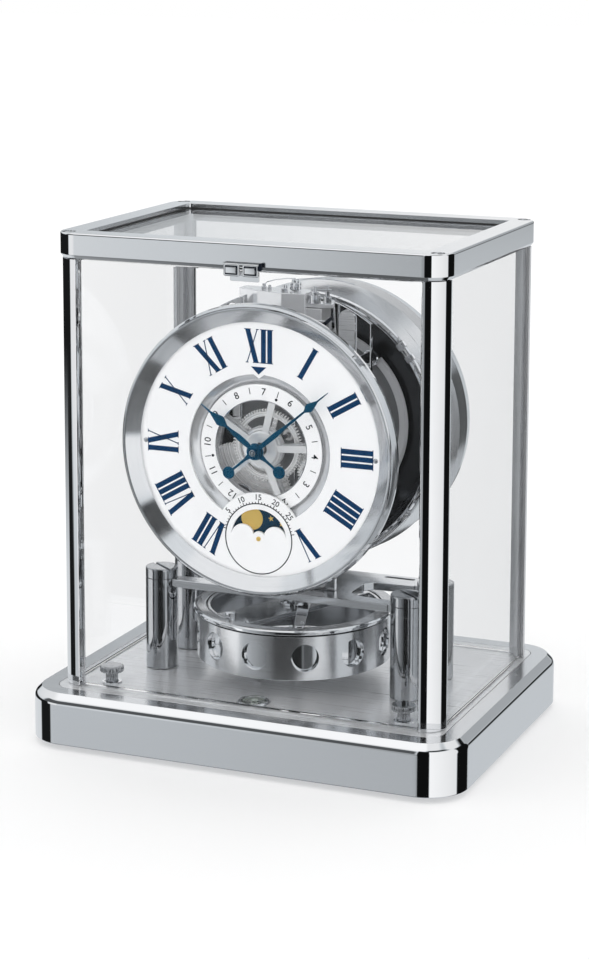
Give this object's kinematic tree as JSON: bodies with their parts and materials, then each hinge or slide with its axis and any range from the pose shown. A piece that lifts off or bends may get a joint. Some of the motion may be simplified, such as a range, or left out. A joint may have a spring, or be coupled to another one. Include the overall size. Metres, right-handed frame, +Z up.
{
  "type": "atmospheric torsion clock",
  "caption": "Glass-cased mantel clock with a slow torsion balance, driven by a bellows in a round housing; white dial, month ring and moon display, levelling base.",
  "frame": {"origin": "on the table, under the centre of the base", "axes": "+Z up, the dial faces -Y, +X is to the right of someone reading the dial"},
  "size_m": [0.2, 0.155, 0.225],
  "materials": {
    "polished_plate": "mirror-polished rhodium-coloured plating",
    "brushed_steel": "fine straight brushing",
    "satin_nickel": "satin nickel plate",
    "clear_glass": "clear polished plate glass",
    "white_lacquer": "white matt lacquer with printed figures",
    "blued_steel": "heat-blued polished steel",
    "moon_sky": "dark blue lacquer with gilt moon and stars",
    "brass": "polished brass",
    "foot_rubber": "black rubber",
    "spring_steel": "polished hard steel"
  },
  "bodies": {
    "case": {"level_cup": "polished_plate", "corner_post_front_left": "polished_plate", "corner_post_front_right": "polished_plate", "corner_post_rear_left": "polished_plate", "corner_post_rear_right": "polished_plate", "top_screw_front_left": "polished_plate", "top_screw_front_right": "polished_plate", "top_screw_rear_left": "polished_plate", "top_screw_rear_right": "polished_plate", "pillar_front_left": "polished_plate", "pillar_front_right": "polished_plate", "pillar_rear_left": "polished_plate", "pillar_rear_right": "polished_plate", "pillar_screw_front_left": "polished_plate", "pillar_screw_front_right": "polished_plate", "pillar_screw_rear_left": "polished_plate", "pillar_screw_rear_right": "polished_plate", "balance_guard_finger": "polished_plate", "suspension_bridge": "polished_plate", "suspension_knob": "polished_plate", "dial_bezel": "polished_plate", "bellows_housing": "polished_plate", "housing_back_cover": "polished_plate", "base_plinth": "brushed_steel", "base_top_plate": "brushed_steel", "top_frame": "brushed_steel", "base_bottom_cover": "satin_nickel", "movement_platform": "satin_nickel", "back_plate": "satin_nickel", "front_plate": "satin_nickel", "level_lens": "clear_glass", "top_glass": "clear_glass", "left_glass": "clear_glass", "right_glass": "clear_glass", "rear_glass": "clear_glass", "dial_plate": "white_lacquer", "bellows_capsule": "brass", "rear_foot": "foot_rubber", "torsion_wire": "spring_steel"},
    "front_door": {"front_glass": "clear_glass", "front_catch_bracket": "polished_plate"},
    "catch": {"front_catch_lever": "polished_plate"},
    "foot_left": {"levelling_foot_left": "foot_rubber"},
    "foot_right": {"levelling_foot_right": "foot_rubber"},
    "screw_left": {"levelling_screw_left": "polished_plate"},
    "screw_right": {"levelling_screw_right": "polished_plate"},
    "lock_lever": {"balance_lock_lever": "polished_plate"},
    "balance": {"balance_ring": "brushed_steel", "balance_web": "brushed_steel", "balance_staff": "polished_plate"},
    "minute": {"minute_hand": "blued_steel", "center_wheel_arbor": "brass"},
    "hour": {"hour_hand": "blued_steel"},
    "month": {"month_ring": "white_lacquer"},
    "moon": {"moon_disc": "moon_sky"},
    "third": {"third_wheel": "brass"},
    "escape": {"escape_wheel": "spring_steel"},
    "barrel": {"mainspring_barrel": "brass"},
    "anchor": {"pallet_anchor": "spring_steel"},
    "follower": {"bellows_follower": "satin_nickel"}
  },
  "joints": [
    {"name": "front_door_tilt", "type": "hinge", "parent": "case", "child": "front_door", "pos_m": [0, -0.0609, 0.0256], "axis": [1, 0, 0], "range_deg": [0, 60]},
    {"name": "catch_press", "type": "hinge", "parent": "front_door", "child": "catch", "pos_m": [0, -0.0646, 0.2118], "axis": [1, 0, 0], "range_deg": [0, 14], "stiffness_Nm_per_rad": 0.004},
    {"name": "foot_left_lower", "type": "slide", "parent": "case", "child": "foot_left", "axis": [0, 0, -1], "range_m": [0, 0.00301]},
    {"name": "foot_right_lower", "type": "slide", "parent": "case", "child": "foot_right", "axis": [0, 0, -1], "range_m": [0, 0.00301]},
    {"name": "screw_left_turn", "type": "hinge", "parent": "foot_left", "child": "screw_left", "pos_m": [-0.0683, -0.0505, 0.03], "axis": [0, 0, -1], "range_deg": [0, 1080]},
    {"name": "screw_right_turn", "type": "hinge", "parent": "foot_right", "child": "screw_right", "pos_m": [0.0683, -0.0505, 0.03], "axis": [0, 0, -1], "range_deg": [0, 1080]},
    {"name": "lock_lever_swing", "type": "hinge", "parent": "case", "child": "lock_lever", "pos_m": [0, -0.0056, 0.026], "axis": [0, 0, 1], "range_deg": [0, 40]},
    {"name": "balance_swing", "type": "hinge", "parent": "case", "child": "balance", "pos_m": [0, -0.0056, 0.05], "axis": [0, 0, 1], "range_deg": [-245, 245], "stiffness_Nm_per_rad": 0.000004},
    {"name": "minute_turn", "type": "hinge", "parent": "case", "child": "minute", "pos_m": [0, -0.05, 0.1343], "axis": [0, 1, 0], "continuous": true},
    {"name": "hour_turn", "type": "hinge", "parent": "case", "child": "hour", "pos_m": [0, -0.045, 0.1343], "axis": [0, 1, 0], "continuous": true},
    {"name": "month_turn", "type": "hinge", "parent": "case", "child": "month", "pos_m": [0, -0.0433, 0.1343], "axis": [0, 1, 0], "continuous": true},
    {"name": "moon_turn", "type": "hinge", "parent": "case", "child": "moon", "pos_m": [0, -0.0442, 0.0955], "axis": [0, 1, 0], "continuous": true},
    {"name": "third_turn", "type": "hinge", "parent": "case", "child": "third", "pos_m": [0.022, -0.03, 0.124], "axis": [0, 1, 0], "continuous": true},
    {"name": "escape_turn", "type": "hinge", "parent": "case", "child": "escape", "pos_m": [0.0145, -0.03, 0.1073], "axis": [0, 1, 0], "continuous": true},
    {"name": "barrel_turn", "type": "hinge", "parent": "case", "child": "barrel", "pos_m": [-0.014, -0.03, 0.1097], "axis": [0, 1, 0], "continuous": true},
    {"name": "anchor_rock", "type": "hinge", "parent": "case", "child": "anchor", "pos_m": [0.0052, -0.0164, 0.092], "axis": [0, 1, 0], "range_deg": [-3.5, 3.5]},
    {"name": "follower_slide", "type": "slide", "parent": "case", "child": "follower", "axis": [0, -1, 0], "range_m": [0, 0.002], "stiffness_N_per_m": 400}
  ],
  "couplings": [
    {"joint": "foot_left_lower", "follows": "screw_left_turn", "m_per_rad": 0.00015915},
    {"joint": "foot_right_lower", "follows": "screw_right_turn", "m_per_rad": 0.00015915},
    {"joint": "hour_turn", "follows": "minute_turn", "ratio": 0.083333},
    {"joint": "month_turn", "follows": "minute_turn", "ratio": 0.00011408},
    {"joint": "moon_turn", "follows": "minute_turn", "ratio": 0.00070547},
    {"joint": "third_turn", "follows": "minute_turn", "ratio": -2},
    {"joint": "escape_turn", "follows": "minute_turn", "ratio": 4},
    {"joint": "barrel_turn", "follows": "minute_turn", "ratio": -0.16667}
  ]
}
